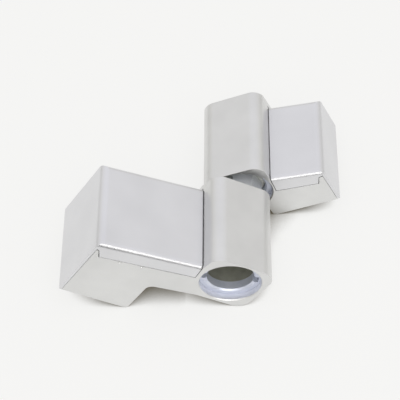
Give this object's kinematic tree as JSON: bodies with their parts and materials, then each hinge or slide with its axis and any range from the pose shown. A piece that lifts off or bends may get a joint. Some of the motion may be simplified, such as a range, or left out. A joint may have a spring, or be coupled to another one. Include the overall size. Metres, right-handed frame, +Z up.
{
  "type": "two-part hinge",
  "caption": "Surface-mounted two-part door hinge: two square barrels on one pin, stepped leaves under folded covers, eccentric side setting and height setting by a hexagon on the pin.",
  "frame": {"origin": "middle of the footprint on the table the hinge lies on", "axes": "+Y along the hinge line from the frame half to the sash half, +X from the frame leaf to the sash leaf, +Z up"},
  "size_m": [0.083, 0.0622, 0.0329],
  "materials": {
    "anodised_body": "satin, silver anodised",
    "anodised_cover": "satin, silver anodised sheet",
    "zinc_bush": "turned, dull",
    "ring_nut": "turned, bright zinc plated",
    "steel": "zinc plated",
    "spring_steel": "blued",
    "polymer": "bearing polymer"
  },
  "bodies": {
    "frame_half": {"frame_body": "anodised_body", "frame_cover": "anodised_cover", "frame_cover_clip": "spring_steel", "frame_clip_screw": "steel", "frame_bush": "zinc_bush", "frame_bush_screw": "steel", "frame_ring_nut": "ring_nut", "pin_lock_screw": "steel", "hinge_pin": "steel", "top_washer": "polymer", "retaining_ring": "spring_steel"},
    "sash_half": {"sash_body": "anodised_body", "sash_cover": "anodised_cover", "sash_cover_clip": "spring_steel", "sash_clip_screw": "steel", "sash_bush": "zinc_bush", "sash_bush_screw": "steel", "sash_ring_nut": "ring_nut", "sash_sleeve": "polymer", "thrust_washer": "polymer"}
  },
  "joints": [
    {"name": "hinge_swing", "type": "hinge", "parent": "frame_half", "child": "sash_half", "pos_m": [0.01206, 0, 0.01179], "axis": [0, -1, 0], "range_deg": [-53.62, 126.38]}
  ]
}
